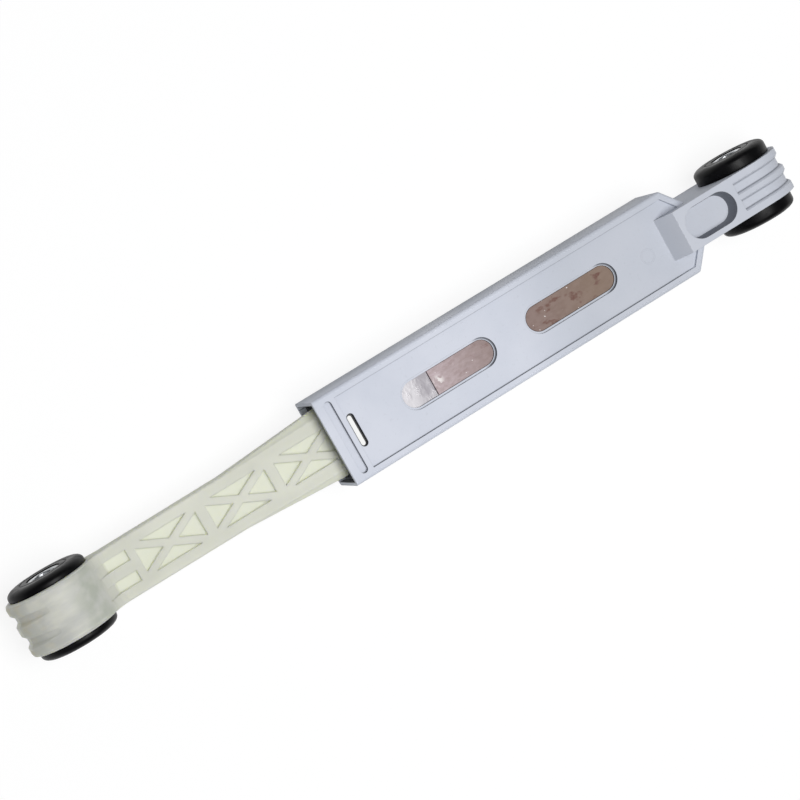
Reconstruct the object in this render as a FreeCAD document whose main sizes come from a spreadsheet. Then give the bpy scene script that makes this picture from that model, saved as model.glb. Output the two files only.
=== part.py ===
"""Washing machine shock absorber: a flat friction damper with a rubber-bushed eye at each end.

The origin is the centre of the housing eye's bore. +X runs along the strut to the rod eye, +Y along the
bolts and +Z out of the wide front face. Millimetres. The strut is drawn fully extended.
"""
import FreeCAD, Part
import Sketcher
import os

doc = FreeCAD.newDocument("shock_absorber")
sheet = doc.addObject("Spreadsheet::Sheet", "sizes")

# Driving dimensions: alias, value in millimetres (angles in degrees), meaning
SIZES = [
    ("stroke", 60, "travel of the piston from fully extended to closed"),
    ("arm_reach", 94.5, "mouth of the case to the rod eye, fully extended"),
    ("ring_radius", 14.7, "outer radius of both eyes over the ridges"),
    ("ridge_height", 1.1, "height of the three ridges round each eye"),
    ("ridge_bevel", 0.7, "bevel along the housing eye's ridges"),
    ("ridge_start", 9.8, "housing eye to where its ridges begin on the neck"),
    ("eye_bore", 20, "diameter of the eyes' bores for the rubber"),
    ("housing_eye_width", 14.6, "width of the housing eye along the bolt"),
    ("rod_eye_width", 17.6, "width of the rod eye along the bolt"),
    ("ring_bevel", 1.2, "rounding of the rod eye's outer edges"),
    ("housing_flange", 5.0, "thickness of the housing bush's flanges"),
    ("rod_flange", 3.0, "thickness of the rod bush's flanges"),
    ("flange_diameter", 25.6, "diameter of the bush flanges at the eye"),
    ("nose_diameter", 19.6, "diameter of the flat end of a flange"),
    ("dome_rise", 2.0, "domed part of the flanges' thickness"),
    ("sleeve_recess", 0.3, "rubber's faces beyond the ends of the steel sleeves"),
    ("sleeve_diameter", 11, "outer diameter of the steel sleeves"),
    ("bolt_bore", 8.2, "bore of the steel sleeves for an M8 bolt"),
    ("sleeve_bevel", 0.4, "bevel on the ends of the steel sleeves"),
    ("case_width", 29.4, "width of the case across the strut"),
    ("case_depth", 19, "depth of the case from front face to rear face"),
    ("shoulder_reach", 31.5, "housing eye to where the case begins to narrow"),
    ("neck_reach", 25.2, "housing eye to where the case meets the neck"),
    ("case_round", 1.0, "rounding of the case's long edges"),
    ("side_wall", 1.5, "wall of the case at its narrow sides"),
    ("face_wall", 1.5, "wall of the case under the recessed panels"),
    ("panel_sink", 1.0, "depth of the recessed panels"),
    ("panel_rim", 2.3, "rim left round the recessed panels"),
    ("mouth_band", 7.2, "plain band between the panels and the mouth"),
    ("lead_wall", 1.2, "wall left at the widened mouth"),
    ("lead_depth", 2.2, "depth of the widened mouth"),
    ("groove_inset", 2.9, "mouth to the near side of the groove across the band"),
    ("groove_width", 2.6, "width of the groove across the band"),
    ("groove_span", 25.0, "length of the groove across the band"),
    ("groove_sink", 1.3, "depth of the groove across the band"),
    ("window_length", 35.2, "length of the windows"),
    ("window_width", 10.0, "width of the windows"),
    ("window_lip", 0.7, "ledge inside the windows"),
    ("lip_wall", 0.7, "thickness of the windows' ledge"),
    ("near_window", 43.3, "mouth to the middle of the window near it"),
    ("far_window", 90.7, "mouth to the middle of the far window"),
    ("lug_inset", 8.8, "mouth to the middle of the guide's lug"),
    ("lug_width", 2.5, "width of the lug slot along the strut"),
    ("lug_span", 11.4, "length of the lug slot across the strut"),
    ("lug_play", 0.7, "open part of the lug slot beside the lug"),
    ("ramp_foot", 37.5, "housing eye to the foot of the ramp"),
    ("ramp_head", 33.1, "housing eye to the top of the ramp"),
    ("oval_length", 19.6, "length of the oval pockets in the neck"),
    ("oval_width", 11, "width of the oval pockets"),
    ("oval_centre", 21.5, "housing eye to the middle of the oval pockets"),
    ("oval_sink", 5.2, "depth of the oval pockets"),
    ("oval_draft", 8.7, "draft angle of the oval pockets' walls"),
    ("end_wall", 4.5, "solid end between the shoulders and the cavity"),
    ("end_depth", 8, "closed end of the cavity to the step behind the linings"),
    ("lining_spare", 2.2, "length of the linings beyond the piston head's travel"),
    ("lining_key", 0.5, "height of the linings' keys in the windows"),
    ("guide_length", 31.3, "length of the guide plates"),
    ("guide_inset", 6.0, "mouth to the guide plates"),
    ("guide_lug", 1.3, "height of the guides' lugs in their slots"),
    ("rod_depth", 6.6, "thickness of the rod's arm"),
    ("arm_width", 17.6, "width of the arm next to its eye"),
    ("waist_width", 17.9, "width of the arm where its flare begins"),
    ("root_width", 23, "width of the arm at the mouth and inside"),
    ("flare_length", 34.5, "length of the flare outside the mouth"),
    ("flare_bevel", 2.4, "width of the bevels along the arm's root"),
    ("edge_bevel", 0.5, "bevel along the arm's edges"),
    ("bevel_slope", 0.8, "depth of the arm's bevels for each millimetre of width"),
    ("neck_inset", 0.2, "step from the eye's sides in to the arm's neck"),
    ("blend_radius", 8, "hollow between the arm's faces and its eye"),
    ("head_length", 21.8, "length of the piston head"),
    ("head_depth", 10.4, "thickness of the piston head between the linings"),
    ("head_bevel", 1.2, "lead-in bevel at the piston head's inner end"),
    ("cell_start", 26.6, "rod eye to the first braced cell"),
    ("cell_length", 21.5, "length of a braced cell"),
    ("cell_width", 10.6, "width of a braced cell across the arm"),
    ("cell_post", 3.45, "post between two braced cells"),
    ("brace_width", 2.4, "width of the crossed braces"),
    ("cell_sink", 1.0, "depth of the pockets between the braces"),
    ("well_length", 11.5, "length of the two pockets next to the rod eye"),
    ("well_floor", 7.3, "level part of those pockets' floors"),
    ("well_width", 3.5, "width of the two pockets next to the rod eye"),
    ("well_rib", 3.6, "rib between the two pockets next to the rod eye"),
    ("well_post", 2.6, "post between those pockets and the first cell"),
    ("well_rise", 3.9, "rise of those pockets' floors where they fade out at the eye"),
    ("slide_gap", 0.05, "running clearance of the piston on each side"),
    ("turn_gap", 0.05, "running clearance round the sleeves"),
    ("seat_gap", 0.2, "clearance of pieces that lie in the case"),
    ("stop_gap", 0.1, "piston head to the guides when fully extended"),
    ("flange_gap", 0.3, "rod arm to the rubber flange beside it"),
]
STRIPE_COUNT = 5
TIP_ANGLE = 160
TIP_FADE = 65
VALLEY_FLOOR = (0.75, 1.25)
VALLEY_MOUTH = (0.35, 1.65)
CELL_COUNT = 3
BLEND_ANGLES = (0, 15, 30, 45)
FULL_TURN = 360
HALF_TURN = FreeCAD.Rotation(FreeCAD.Vector(1, 0, 0), FULL_TURN / 2)
TOLERANCE = 1e-6

for row, (alias, value, meaning) in enumerate(SIZES, start=1):
    sheet.set(f"A{row}", meaning)
    sheet.set(f"B{row}", str(value))
    sheet.setAlias(f"B{row}", alias)
doc.recompute()

# Places along the strut, worked out from the driving dimensions as expressions
LINING_INNER = "(sizes.shoulder_reach + sizes.end_wall + sizes.end_depth)"
LINING_OUTER = f"({LINING_INNER} + sizes.head_length + sizes.stroke + sizes.lining_spare)"
GUIDE_END = f"({LINING_OUTER} + sizes.seat_gap)"
HEAD_FRONT = f"({GUIDE_END} - sizes.stop_gap)"
MOUTH = f"({GUIDE_END} + sizes.guide_length + sizes.guide_inset)"
ROD_EYE = f"({MOUTH} + sizes.arm_reach)"
WAIST = f"({MOUTH} + sizes.flare_length)"
ROOT_END = f"({HEAD_FRONT} - sizes.head_bevel)"
LUG_PLACE = f"({MOUTH} - sizes.lug_inset)"
WINDOWS = (f"({MOUTH} - sizes.near_window)", f"({MOUTH} - sizes.far_window)")

# Faces, sides and clearances across the strut
CASE_FACE = "sizes.case_depth / 2"
PANEL_FACE = "(sizes.case_depth / 2 - sizes.panel_sink)"
CAVITY_FACE = "(sizes.case_depth / 2 - sizes.panel_sink - sizes.face_wall)"
CAVITY_SIDE = "(sizes.case_width / 2 - sizes.side_wall)"
PANEL_SIDE = "(sizes.case_width / 2 - sizes.panel_rim)"
NECK_SIDE = "(sizes.housing_eye_width / 2)"
SHOULDER_RUN = "(sizes.shoulder_reach - sizes.neck_reach)"
SHOULDER_DROP = "((sizes.case_width - sizes.housing_eye_width) / 2)"
SHOULDER_SLOPE = f"({SHOULDER_RUN} / {SHOULDER_DROP})"
RIM_SHIFT = f"(sizes.panel_rim * (sqrt(1 + {SHOULDER_SLOPE} ^ 2) - {SHOULDER_SLOPE}))"
HEAD_FACE = "(sizes.head_depth / 2)"
LINING_FACE = "(sizes.head_depth / 2 + sizes.slide_gap)"
GUIDE_FACE = "(sizes.rod_depth / 2 + sizes.slide_gap)"
HEEL = "(sizes.eye_bore / 2 + sizes.flange_gap)"
BEVEL_STEP = "(sizes.ring_bevel * (1 - sqrt(0.5)))"
DOME_STEP = "(sizes.dome_rise * sqrt(0.5))"
DOME_SPREAD = "((sizes.flange_diameter - sizes.nose_diameter) / 2 * sqrt(0.5))"
BESIDE_FLANGE = "(sizes.flange_diameter / 2 + sizes.flange_gap)"
BLEND_RISE = "(sizes.rod_depth / 2 + sizes.blend_radius)"
BLEND_FOOT = f"sqrt((sizes.ring_radius + sizes.blend_radius) ^ 2 - {BLEND_RISE} ^ 2)"
NECK_HALF = "(sizes.rod_eye_width / 2 - sizes.neck_inset)"
CELL_PITCH = "(sizes.cell_length + sizes.cell_post)"
CELL_DIAGONAL = "sqrt(sizes.cell_length ^ 2 + sizes.cell_width ^ 2)"
BRACE_ACROSS = f"(sizes.brace_width / 2 * {CELL_DIAGONAL} / sizes.cell_length)"
BRACE_ALONG = f"(sizes.brace_width / 2 * {CELL_DIAGONAL} / sizes.cell_width)"


def add_body(label):
    """Start a body whose label names the sub-part."""
    body = doc.addObject("PartDesign::Body", label)
    body.Label = label
    return body


def add_sketch(body, name, plane_role, lift="0"):
    """Sketch on one of the body's origin planes, lifted along the plane's normal."""
    sketch = body.newObject("Sketcher::SketchObject", f"{body.Label}_{name}")
    plane = next(item for item in body.Origin.OriginFeatures if item.Role == plane_role)
    sketch.AttachmentSupport = [(plane, "")]
    sketch.MapMode = "FlatFace"
    sketch.setExpression("AttachmentOffset.Base.z", lift)
    return sketch


def bind(sketch, kind, *geometry, value):
    """Add a dimension whose value is an expression."""
    size = float(sketch.evalExpression(value))
    index = sketch.addConstraint(Sketcher.Constraint(kind, *geometry, size))
    sketch.setExpression(f"Constraints[{index}]", value)


def pin_point(sketch, geometry, point, place):
    """Hold a point of the sketch at a place given by two expressions."""
    bind(sketch, "DistanceX", -1, 1, geometry, point, value=place[0])
    bind(sketch, "DistanceY", -1, 1, geometry, point, value=place[1])


def spot(sketch, place):
    """Place given by two expressions, as a vector in the sketch."""
    return FreeCAD.Vector(*(float(sketch.evalExpression(part)) for part in place))


def add_polygon(sketch, places):
    """Closed outline of straight lines through places given as expressions."""
    points = [spot(sketch, place) for place in places]
    first = sketch.GeometryCount
    count = len(points)
    for index, point in enumerate(points):
        sketch.addGeometry(Part.LineSegment(point, points[(index + 1) % count]))
    for index, place in enumerate(places):
        following = first + (index + 1) % count
        sketch.addConstraint(Sketcher.Constraint("Coincident", first + index, 2, following, 1))
        pin_point(sketch, first + index, 1, place)


def add_arched_outline(sketch, places, radius):
    """Closed outline of straight lines, closed by an arc about the sketch's origin on its -X side."""
    points = [spot(sketch, place) for place in places]
    first = sketch.GeometryCount
    count = len(points)
    for start, end in zip(points, points[1:]):
        sketch.addGeometry(Part.LineSegment(start, end))
    crown = FreeCAD.Vector(-float(sketch.evalExpression(radius)), 0)
    arc = sketch.addGeometry(Part.Arc(points[-1], crown, points[0]))
    for index, place in enumerate(places[:-1]):
        pin_point(sketch, first + index, 1, place)
        if index:
            sketch.addConstraint(Sketcher.Constraint("Coincident", first + index - 1, 2, first + index, 1))
    last = first + count - 2
    pin_point(sketch, last, 2, places[-1])
    arc_start, arc_end = ((1, 2), (2, 1))[sketch.getPoint(arc, 1).y > 0]
    sketch.addConstraint(Sketcher.Constraint("Coincident", arc, arc_start, last, 2))
    sketch.addConstraint(Sketcher.Constraint("Coincident", arc, arc_end, first, 1))
    sketch.addConstraint(Sketcher.Constraint("PointOnObject", arc, 3, -2))


def add_rectangle(sketch, low, high):
    """Rectangle between two opposite corners given as expressions."""
    add_polygon(sketch, [low, (high[0], low[1]), high, (low[0], high[1])])


def add_box(sketch, half_x, half_y):
    """Rectangle about the sketch's origin."""
    add_rectangle(sketch, (f"-({half_x})", f"-({half_y})"), (half_x, half_y))


def add_slot(sketch, start, end, radius):
    """Round-ended slot between two end centres, along either axis of the sketch."""
    first_centre = spot(sketch, start)
    last_centre = spot(sketch, end)
    size = float(sketch.evalExpression(radius))
    along = (last_centre - first_centre).normalize() * size
    across = FreeCAD.Vector(-along.y, along.x)
    base = sketch.GeometryCount
    sketch.addGeometry(Part.Arc(first_centre + across, first_centre - along, first_centre - across))
    sketch.addGeometry(Part.LineSegment(first_centre - across, last_centre - across))
    sketch.addGeometry(Part.Arc(last_centre - across, last_centre + along, last_centre + across))
    sketch.addGeometry(Part.LineSegment(last_centre + across, first_centre + across))
    for arc, arc_end, line, line_end in ((0, 2, 1, 1), (2, 1, 1, 2), (2, 2, 3, 1), (0, 1, 3, 2)):
        sketch.addConstraint(Sketcher.Constraint("Tangent", base + arc, arc_end, base + line, line_end))
    sketch.addConstraint(Sketcher.Constraint("Equal", base, base + 2))
    pin_point(sketch, base, 3, start)
    pin_point(sketch, base + 2, 3, end)
    bind(sketch, "Radius", base, value=radius)


def add_circle(sketch, centre, radius):
    """Circle about a centre given as expressions."""
    size = float(sketch.evalExpression(radius))
    index = sketch.addGeometry(Part.Circle(spot(sketch, centre), FreeCAD.Vector(0, 0, 1), size))
    pin_point(sketch, index, 3, centre)
    bind(sketch, "Radius", index, value=radius)


def add_axis(sketch, place):
    """Construction line along the sketch's second axis, for revolving."""
    foot = spot(sketch, place)
    index = sketch.addGeometry(Part.LineSegment(foot, foot + FreeCAD.Vector(0, 1)), True)
    pin_point(sketch, index, 1, place)
    sketch.addConstraint(Sketcher.Constraint("Vertical", index))
    bind(sketch, "DistanceY", index, 1, index, 2, value="1")


def add_feature(body, kind, sketch, name):
    """PartDesign feature on a sketch, recomputed so that later features can read it."""
    doc.recompute()
    feature = body.newObject(f"PartDesign::{kind}", f"{body.Label}_{name}")
    feature.Profile = sketch
    return feature


def pad(body, sketch, name, length, symmetric=False):
    """Raise a sketch along its normal, or half each way."""
    feature = add_feature(body, "Pad", sketch, name)
    feature.setExpression("Length", length)
    if symmetric:
        feature.SideType = "Symmetric"
    doc.recompute()
    return feature


def pocket(body, sketch, name, depth):
    """Cut a sketch against its normal, and make sure that it removes material."""
    volume = body.Tip.Shape.Volume
    feature = add_feature(body, "Pocket", sketch, name)
    feature.setExpression("Length", depth)
    doc.recompute()
    if feature.Shape.Volume >= volume:
        raise RuntimeError(f"{feature.Name} removes nothing")
    return feature


def revolve(body, sketch, name):
    """Turn a sketch a full turn about its construction line."""
    feature = add_feature(body, "Revolution", sketch, name)
    feature.ReferenceAxis = (sketch, ["Axis0"])
    feature.Angle = FULL_TURN
    doc.recompute()
    return feature


def mirror(body, originals, name):
    """Repeat front features on the rear face."""
    feature = body.newObject("PartDesign::Mirrored", f"{body.Label}_{name}")
    plane = next(item for item in body.Origin.OriginFeatures if item.Role == "XY_Plane")
    feature.Originals = originals
    feature.MirrorPlane = (plane, [""])
    body.Tip = feature
    doc.recompute()
    return feature


def round_edges(body, name, radius, wanted):
    """Fillet the edges of the body's tip that the test accepts."""
    base = body.Tip
    names = [f"Edge{index}" for index, edge in enumerate(base.Shape.Edges, start=1) if wanted(edge)]
    feature = body.newObject("PartDesign::Fillet", f"{body.Label}_{name}")
    feature.Base = (base, names)
    feature.setExpression("Radius", radius)
    doc.recompute()
    return feature


def is_ridge_edge(edge, places, crest):
    """Whether an edge runs along a ridge's crest at one of the given places across the strut."""
    across = [abs(v.Y) for v in edge.Vertexes]
    level = max(across) - min(across) < TOLERANCE
    placed = any(abs(across[0] - place) < TOLERANCE for place in places)
    middle = edge.valueAt((edge.FirstParameter + edge.LastParameter) / 2)
    flat = abs(abs(middle.z) - crest) < TOLERANCE and middle.x > 0
    round_tip = abs((middle.x ** 2 + middle.z ** 2) ** 0.5 - crest) < TOLERANCE
    return level and placed and (flat or round_tip)


def number(expression):
    """Present value of an expression."""
    return float(sheet.evalExpression(expression))


def add_blank_ring(body):
    """Housing eye: plain ring as deep as the neck, before its ridges are cut."""
    sketch = add_sketch(body, "eye", "XZ_Plane")
    add_circle(sketch, ("0", "0"), "sizes.ring_radius")
    pad(body, sketch, "ring", "sizes.housing_eye_width", symmetric=True)


def ridge_eye(body):
    """Two valleys along the neck's faces and round the housing eye, which leave three bevelled ridges."""
    stripe = f"(sizes.housing_eye_width / {STRIPE_COUNT})"
    floor = "(sizes.ring_radius - sizes.ridge_height)"
    outside = "(sizes.ring_radius + sizes.seat_gap)"
    for name, edge in (("near", f"{stripe} / 2"), ("far", f"-{stripe} * 3 / 2")):
        sketch = add_sketch(body, f"{name}_valley", "XZ_Plane", f"-({edge})")
        corners = [
            ("0", floor),
            ("sizes.ridge_start", floor),
            ("sizes.ridge_start", outside),
            (f"-{outside}", outside),
            (f"-{outside}", f"-{outside}"),
            ("sizes.ridge_start", f"-{outside}"),
            ("sizes.ridge_start", f"-{floor}"),
            ("0", f"-{floor}"),
        ]
        add_arched_outline(sketch, corners, floor)
        pocket(body, sketch, f"{name}_ridged", stripe)
    half = number(f"{stripe} / 2")
    crest = number("sizes.ring_radius")
    base = body.Tip
    edges = [
        f"Edge{index}"
        for index, edge in enumerate(base.Shape.Edges, start=1)
        if is_ridge_edge(edge, (half, 3 * half), crest)
    ]
    chamfer = body.newObject("PartDesign::Chamfer", f"{body.Label}_ridge_bevel")
    chamfer.Base = (base, edges)
    chamfer.setExpression("Size", "sizes.ridge_bevel")
    doc.recompute()


def add_plain_ring(body):
    """Rod eye: ring with rounded outer edges, turned about the bolt's axis."""
    sketch = add_sketch(body, "eye", "XY_Plane")
    add_axis(sketch, (ROD_EYE, "0"))
    side = "sizes.rod_eye_width / 2"
    crown = f"{ROD_EYE} + sizes.ring_radius"
    half = [
        (crown, f"{side} - sizes.ring_bevel"),
        (f"{crown} - {BEVEL_STEP}", f"{side} - {BEVEL_STEP}"),
        (f"{crown} - sizes.ring_bevel", side),
        (f"{ROD_EYE} + sizes.eye_bore / 2", side),
    ]
    add_polygon(sketch, half + [(x, f"-({y})") for x, y in reversed(half)])
    revolve(body, sketch, "ring")


def ridge_tip(body):
    """Two valleys round the rod eye's tip that leave three ridges and fade out towards the arm."""
    sketch = add_sketch(body, "tip", "XY_Plane")
    shift = f"(sizes.ridge_height / (1 - cos({TIP_FADE} deg)))"
    add_axis(sketch, (f"{ROD_EYE} - {shift}", "0"))
    stripe = f"(sizes.rod_eye_width / {STRIPE_COUNT})"
    floor = f"{ROD_EYE} + sizes.ring_radius - sizes.ridge_height"
    outside = f"{ROD_EYE} + sizes.ring_radius + sizes.seat_gap"
    for side in ("-", ""):
        profile = [
            (floor, f"{side}{stripe} * {VALLEY_FLOOR[0]}"),
            (floor, f"{side}{stripe} * {VALLEY_FLOOR[1]}"),
            (outside, f"{side}{stripe} * {VALLEY_MOUTH[1]}"),
            (outside, f"{side}{stripe} * {VALLEY_MOUTH[0]}"),
        ]
        add_polygon(sketch, profile)
    feature = add_feature(body, "Groove", sketch, "ridged")
    feature.ReferenceAxis = (sketch, ["Axis0"])
    feature.Angle = TIP_ANGLE
    feature.Midplane = True
    doc.recompute()


def bore_eye(body):
    """Clear the housing eye's bore of the neck that runs into it."""
    sketch = add_sketch(body, "bore", "XZ_Plane", "sizes.housing_eye_width")
    add_circle(sketch, ("0", "0"), "sizes.eye_bore / 2")
    pocket(body, sketch, "bored", "2 * sizes.housing_eye_width")


def build_case(body):
    """Case blank with narrowed shoulders and rounded long edges."""
    sketch = add_sketch(body, "outline", "XY_Plane")
    side = "sizes.case_width / 2"
    half = [
        (MOUTH, side),
        ("sizes.shoulder_reach", side),
        ("sizes.neck_reach", NECK_SIDE),
    ]
    add_polygon(sketch, half + [(x, f"-({y})") for x, y in reversed(half)])
    pad(body, sketch, "blank", "sizes.case_depth", symmetric=True)
    mouth = number(MOUTH)
    neck_reach = number("sizes.neck_reach")
    face = number(CASE_FACE)
    round_edges(
        body,
        "rounded",
        "sizes.case_round",
        lambda edge: all(abs(abs(v.Z) - face) < TOLERANCE for v in edge.Vertexes)
        and min(v.X for v in edge.Vertexes) < mouth - TOLERANCE
        and max(v.X for v in edge.Vertexes) > neck_reach + TOLERANCE,
    )


def sink_faces(body):
    """Recessed panel and band groove on the front and rear faces."""
    panel = add_sketch(body, "panel", "XY_Plane", CASE_FACE)
    half = [
        (f"{MOUTH} - sizes.mouth_band", PANEL_SIDE),
        (f"sizes.shoulder_reach + {RIM_SHIFT}", PANEL_SIDE),
        (f"sizes.neck_reach + {RIM_SHIFT} + sizes.panel_rim * {SHOULDER_SLOPE}", NECK_SIDE),
    ]
    add_polygon(panel, half + [(x, f"-({y})") for x, y in reversed(half)])
    sunk = pocket(body, panel, "sunk", "sizes.panel_sink")
    groove = add_sketch(body, "groove", "XY_Plane", CASE_FACE)
    place = f"{MOUTH} - sizes.groove_inset - sizes.groove_width / 2"
    reach = "(sizes.groove_span - sizes.groove_width) / 2"
    add_slot(groove, (place, f"-{reach}"), (place, reach), "sizes.groove_width / 2")
    grooved = pocket(body, groove, "grooved", "sizes.groove_sink")
    mirror(body, [sunk, grooved], "faces")


def add_neck(body):
    """Neck block that rises from the panels by a ramp and runs into the eye."""
    sketch = add_sketch(body, "neck", "XZ_Plane")
    half = [
        ("sizes.ramp_foot", PANEL_FACE),
        ("sizes.ramp_head", "sizes.ring_radius"),
        ("0", "sizes.ring_radius"),
    ]
    add_polygon(sketch, half + [(x, f"-({z})") for x, z in reversed(half)])
    pad(body, sketch, "neck_block", "sizes.housing_eye_width", symmetric=True)


def hollow_case(body):
    """Cavity for the piston, its widened mouth and the shoulder behind the linings."""
    steps = [
        ("mouth", "sizes.case_width / 2 - sizes.lead_wall", "sizes.case_depth / 2 - sizes.lead_wall",
         "sizes.lead_depth"),
        ("barrel", CAVITY_SIDE, CAVITY_FACE, f"{MOUTH} - {LINING_INNER}"),
        ("end", CAVITY_SIDE, f"{HEAD_FACE} + sizes.seat_gap",
         f"{MOUTH} - {LINING_INNER} + sizes.end_depth"),
    ]
    for name, half_width, half_depth, depth in steps:
        sketch = add_sketch(body, name, "YZ_Plane", MOUTH)
        add_box(sketch, half_width, half_depth)
        pocket(body, sketch, f"{name}_cut", depth)


def cut_windows(body):
    """Two ledged windows and the lug slot, through the front and rear walls."""
    openings = add_sketch(body, "openings", "XY_Plane", CASE_FACE)
    ledges = add_sketch(body, "ledges", "XY_Plane", CASE_FACE)
    for middle in WINDOWS:
        reach = "(sizes.window_length - sizes.window_width) / 2"
        ends = ((f"{middle} - {reach}", "0"), (f"{middle} + {reach}", "0"))
        add_slot(openings, *ends, "sizes.window_width / 2 - sizes.window_lip")
        add_slot(ledges, *ends, "sizes.window_width / 2")
    span = "(sizes.lug_span - sizes.lug_width) / 2"
    add_slot(openings, (LUG_PLACE, f"-{span}"), (LUG_PLACE, span), "sizes.lug_width / 2")
    pocket(body, openings, "opened", "sizes.case_depth")
    ledged = pocket(body, ledges, "ledged", "sizes.panel_sink + sizes.face_wall - sizes.lip_wall")
    mirror(body, [ledged], "rear_ledges")


def sink_ovals(body):
    """Drafted oval pockets in the neck, front and rear."""
    sketch = add_sketch(body, "oval", "XY_Plane", "sizes.ring_radius")
    reach = "(sizes.oval_length - sizes.oval_width) / 2"
    ends = ((f"sizes.oval_centre - {reach}", "0"), (f"sizes.oval_centre + {reach}", "0"))
    add_slot(sketch, *ends, "sizes.oval_width / 2")
    sunk = pocket(body, sketch, "oval_sunk", "sizes.oval_sink")
    sunk.setExpression("TaperAngle", "-sizes.oval_draft")
    doc.recompute()
    mirror(body, [sunk], "ovals")


def build_housing():
    """One-piece moulded housing with its eye."""
    body = add_body("housing")
    build_case(body)
    sink_faces(body)
    add_neck(body)
    add_blank_ring(body)
    ridge_eye(body)
    hollow_case(body)
    cut_windows(body)
    sink_ovals(body)
    bore_eye(body)
    return body


def place_side(body, rear):
    """Turn a piece of the rear half round to its side of the case."""
    if rear:
        body.Placement = FreeCAD.Placement(FreeCAD.Vector(), HALF_TURN)
    return body


def build_lining(label, rear):
    """Friction strip against the case wall, with a key standing in each window."""
    body = add_body(label)
    strip = add_sketch(body, "strip", "XY_Plane", LINING_FACE)
    side = f"{CAVITY_SIDE} - sizes.seat_gap"
    add_rectangle(strip, (LINING_INNER, f"-({side})"), (LINING_OUTER, side))
    pad(body, strip, "pad", f"{CAVITY_FACE} - {LINING_FACE}")
    keys = add_sketch(body, "keys", "XY_Plane", CAVITY_FACE)
    reach = "(sizes.window_length - sizes.window_width) / 2"
    radius = "sizes.window_width / 2 - sizes.window_lip - sizes.seat_gap"
    near, far = WINDOWS
    add_slot(keys, (f"{far} - {reach}", "0"), (f"{far} + {reach}", "0"), radius)
    last = f"{LINING_OUTER} - ({radius}) - sizes.seat_gap"
    add_slot(keys, (f"{near} - {reach}", "0"), (last, "0"), radius)
    pad(body, keys, "key", "sizes.lining_key")
    square = add_sketch(body, "square", "XY_Plane", CAVITY_FACE)
    add_rectangle(square, (last, f"-({radius})"), (LINING_OUTER, radius))
    pad(body, square, "key_end", "sizes.lining_key")
    return place_side(body, rear)


def build_guide(label, rear):
    """Guide plate between the mouth and the lining, held by a lug in the case's slot."""
    body = add_body(label)
    plate = add_sketch(body, "plate", "XY_Plane", GUIDE_FACE)
    side = f"{CAVITY_SIDE} - sizes.seat_gap"
    add_rectangle(plate, (GUIDE_END, f"-({side})"), (f"{GUIDE_END} + sizes.guide_length", side))
    pad(body, plate, "pad", f"{CAVITY_FACE} - {GUIDE_FACE}")
    lug = add_sketch(body, "lug", "XY_Plane", CAVITY_FACE)
    span = "(sizes.lug_span - sizes.lug_width) / 2"
    place = f"{LUG_PLACE} + sizes.lug_play / 2"
    radius = "(sizes.lug_width - sizes.lug_play) / 2 - sizes.seat_gap"
    add_slot(lug, (place, f"-{span}"), (place, span), radius)
    pad(body, lug, "hook", "sizes.guide_lug")
    return place_side(body, rear)


def arm_section(body, name, place, half_width, half_depth, bevel):
    """Eight-cornered section of the arm across the strut."""
    sketch = add_sketch(body, name, "YZ_Plane", place)
    quarter = [
        (half_width, f"{half_depth} - {bevel} * sizes.bevel_slope"),
        (f"{half_width} - {bevel}", half_depth),
    ]
    upper = quarter + [(f"-({y})", z) for y, z in reversed(quarter)]
    add_polygon(sketch, upper + [(y, f"-({z})") for y, z in reversed(upper)])
    return sketch


def blend_sections():
    """Sections of the hollow sweep where the arm thickens and narrows into its eye."""
    face = "sizes.rod_depth / 2"
    narrowing = f"(sizes.arm_width / 2 - {NECK_HALF})"
    sections = []
    for index, angle in enumerate(BLEND_ANGLES):
        from_eye = f"({BLEND_FOOT} - sizes.blend_radius * sin({angle} deg))"
        beyond_flange = f"max(0; {from_eye} - {BESIDE_FLANGE}) / ({BLEND_FOOT} - {BESIDE_FLANGE})"
        half_width = f"({NECK_HALF} + {narrowing} * {beyond_flange})"
        half_depth = f"({face} + sizes.blend_radius * (1 - cos({angle} deg)))"
        sections.append((f"blend_{index}", f"{ROD_EYE} - {from_eye}", half_width, half_depth))
    heel_depth = f"({half_depth} + ({from_eye} - {HEEL}) * tan({angle} deg))"
    sections.append(("heel", f"{ROD_EYE} - {HEEL}", NECK_HALF, heel_depth))
    return [section + ("sizes.edge_bevel",) for section in reversed(sections)]


def build_arm(body):
    """Lofted arm: narrow at the eye, widening to the flared root inside the mouth."""
    face = "sizes.rod_depth / 2"
    sections = blend_sections() + [
        ("waist", WAIST, "sizes.waist_width / 2", face, "sizes.edge_bevel"),
        ("root", MOUTH, "sizes.root_width / 2", face, "sizes.flare_bevel"),
        ("inner", ROOT_END, "sizes.root_width / 2", face, "sizes.flare_bevel"),
    ]
    sketches = [arm_section(body, *section) for section in sections]
    loft = add_feature(body, "AdditiveLoft", sketches[0], "arm_loft")
    loft.Sections = sketches[1:]
    loft.Ruled = True
    doc.recompute()


def add_head(body):
    """Piston head that runs between the linings and along the case's sides."""
    sketch = add_sketch(body, "head", "YZ_Plane", f"{HEAD_FRONT} - sizes.head_length")
    add_box(sketch, f"{CAVITY_SIDE} - sizes.slide_gap", HEAD_FACE)
    pad(body, sketch, "head_block", "sizes.head_length")
    inner_end = number(f"{HEAD_FRONT} - sizes.head_length")
    base = body.Tip
    edges = [
        f"Edge{index}"
        for index, edge in enumerate(base.Shape.Edges, start=1)
        if all(abs(v.X - inner_end) < TOLERANCE for v in edge.Vertexes)
    ]
    chamfer = body.newObject("PartDesign::Chamfer", f"{body.Label}_head_lead")
    chamfer.Base = (base, edges)
    chamfer.setExpression("Size", "sizes.head_bevel")
    doc.recompute()


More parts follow.
